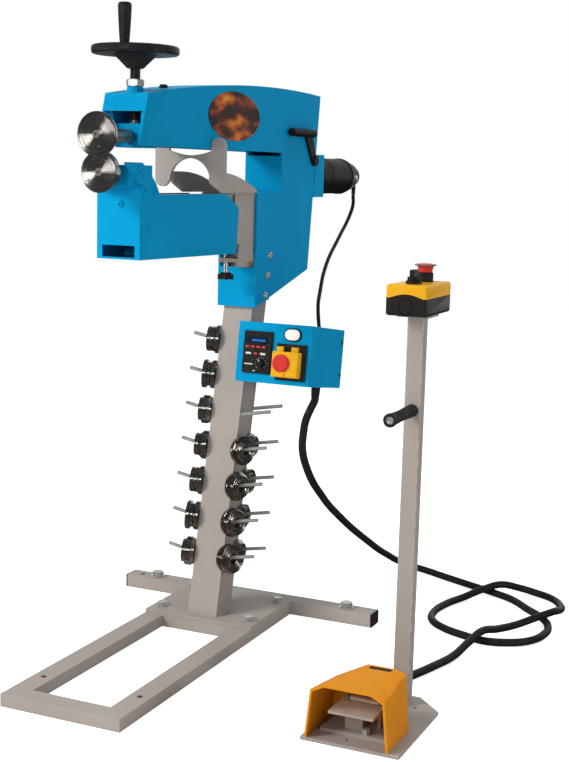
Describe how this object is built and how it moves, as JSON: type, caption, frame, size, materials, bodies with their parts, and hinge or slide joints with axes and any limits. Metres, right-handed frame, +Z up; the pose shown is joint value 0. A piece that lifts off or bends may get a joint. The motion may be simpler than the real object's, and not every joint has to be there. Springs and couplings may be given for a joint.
{
  "type": "motor-driven bead roller",
  "caption": "Motor-driven bead roller with a deep-throat head, handwheel-set upper roll and sliding gauge on a leaning column with spare rolls, control box and separate foot-pedal stand.",
  "frame": {"origin": "on the floor under the rear crossbar, in the machine's middle plane", "axes": "+Z up, -Y towards the rolls and the front of the base, +Y towards the motor, +X towards the pedal stand"},
  "size_m": [0.9983, 1.3581, 1.2925],
  "materials": {
    "grey_paint": "satin stone-grey powder coat",
    "blue_paint": "semi-gloss blue paint",
    "steel": "turned and polished steel",
    "black_metal": "satin black paint",
    "black_plastic": "moulded black plastic",
    "black_rubber": "smooth black rubber",
    "yellow_plastic": "moulded amber-yellow plastic",
    "red_plastic": "moulded red plastic",
    "white_plastic": "white lens"
  },
  "bodies": {
    "machine": {"base_frame": "grey_paint", "rear_crossbar": "grey_paint", "column_base_plate": "grey_paint", "column": "grey_paint", "arm_spine": "grey_paint", "stand_plate": "grey_paint", "stand_post": "grey_paint", "pedal_base": "grey_paint", "head_side_left": "blue_paint", "head_side_right": "blue_paint", "head_top_cover": "blue_paint", "head_front_cap": "blue_paint", "head_cross_plates": "blue_paint", "rear_cover": "blue_paint", "column_socket": "blue_paint", "arm_side_left": "blue_paint", "arm_side_right": "blue_paint", "arm_front_plate": "blue_paint", "roll_bearing_block": "blue_paint", "motor_mount": "blue_paint", "control_box": "blue_paint", "base_bolts": "steel", "die_pegs": "steel", "stored_dies_left": "steel", "stored_dies_right": "steel", "frame_screws": "steel", "gearbox": "black_metal", "motor_body": "black_metal", "motor_cap": "black_metal", "inverter": "black_plastic", "switch_base": "black_plastic", "station_base": "black_plastic", "cable_glands": "black_plastic", "post_grip": "black_plastic", "crossbar_plugs": "black_rubber", "motor_lead": "black_rubber", "pedal_cable": "black_rubber", "station_lid": "yellow_plastic", "pedal_guard": "yellow_plastic", "pilot_lamp": "white_plastic"},
    "screw_carrier": {"thrust_pad": "steel"},
    "handwheel_screw": {"adjusting_screw": "steel", "handwheel": "black_plastic"},
    "wheel_handle": {"handwheel_handle": "black_plastic"},
    "upper_carrier": {"rear_bearing": "steel", "bearing_block": "blue_paint"},
    "upper_spindle": {"upper_shaft": "steel", "upper_gear": "steel", "upper_roll": "steel"},
    "motor_drive": {"motor_gear": "steel"},
    "lower_roller": {"lower_spindle": "steel", "lower_roll": "steel"},
    "gauge": {"gauge_fence": "grey_paint"},
    "gauge_clamp": {"gauge_screw": "black_plastic"},
    "lever": {"clutch_lever": "black_metal"},
    "speed_dial": {"speed_knob": "black_plastic"},
    "power_flap": {"switch_flap": "yellow_plastic"},
    "emergency_stop": {"estop_button": "red_plastic"},
    "selector": {"selector_knob": "black_plastic"},
    "foot_treadle": {"treadle": "grey_paint"}
  },
  "joints": [
    {"name": "handwheel_turn", "type": "hinge", "parent": "screw_carrier", "child": "handwheel_screw", "pos_m": [0, -0.51193, 1.213], "axis": [0, 0, 1], "range_deg": [0, 1800]},
    {"name": "pad_lift", "type": "slide", "parent": "machine", "child": "screw_carrier", "axis": [0, 0, 1], "range_m": [0, 0.01]},
    {"name": "upper_tilt", "type": "hinge", "parent": "machine", "child": "upper_carrier", "pos_m": [0, 0.19507, 1.055], "axis": [-1, 0, 0], "range_deg": [0, 0.8104]},
    {"name": "handle_spin", "type": "hinge", "parent": "handwheel_screw", "child": "wheel_handle", "pos_m": [0.00972, -0.56708, 1.26], "axis": [0, 0, 1], "continuous": true},
    {"name": "motor_turn", "type": "hinge", "parent": "machine", "child": "motor_drive", "pos_m": [0, 0.15007, 0.988], "axis": [0, 1, 0], "continuous": true},
    {"name": "upper_spin", "type": "hinge", "parent": "upper_carrier", "child": "upper_spindle", "pos_m": [0, 0.19507, 1.055], "axis": [0, 1, 0], "continuous": true},
    {"name": "lower_roll_spin", "type": "hinge", "parent": "machine", "child": "lower_roller", "pos_m": [0, -0.56893, 0.988], "axis": [0, 1, 0], "continuous": true},
    {"name": "gauge_slide", "type": "slide", "parent": "machine", "child": "gauge", "axis": [0, -1, 0], "range_m": [0, 0.185]},
    {"name": "gauge_clamp_turn", "type": "hinge", "parent": "gauge", "child": "gauge_clamp", "pos_m": [0, -0.12393, 0.771], "axis": [0, 0, 1], "range_deg": [-180, 180]},
    {"name": "lever_turn", "type": "hinge", "parent": "machine", "child": "lever", "pos_m": [0.048, 0.23107, 1.023], "axis": [1, 0, 0], "range_deg": [-30, 30]},
    {"name": "speed_turn", "type": "hinge", "parent": "machine", "child": "speed_dial", "pos_m": [0.09688, -0.14004, 0.58903], "axis": [0, -0.9895, 0.1444], "range_deg": [-150, 150]},
    {"name": "flap_open", "type": "hinge", "parent": "machine", "child": "power_flap", "pos_m": [0.1595, -0.13775, 0.62548], "axis": [-1, 0, 0], "range_deg": [0, 95]},
    {"name": "estop_push", "type": "slide", "parent": "machine", "child": "emergency_stop", "axis": [0, 0, -1], "range_m": [0, 0.005]},
    {"name": "selector_turn", "type": "hinge", "parent": "machine", "child": "selector", "pos_m": [0.532, -0.427, 0.812], "axis": [0, 0, 1], "range_deg": [-45, 45]},
    {"name": "treadle_press", "type": "hinge", "parent": "machine", "child": "foot_treadle", "pos_m": [0.514, -0.55, 0.056], "axis": [1, 0, 0], "range_deg": [0, 12]}
  ],
  "couplings": [
    {"joint": "pad_lift", "follows": "handwheel_turn", "m_per_rad": 0.00031831},
    {"joint": "upper_tilt", "follows": "handwheel_turn", "ratio": 0.00045023},
    {"joint": "upper_spin", "follows": "motor_turn", "ratio": -1}
  ]
}
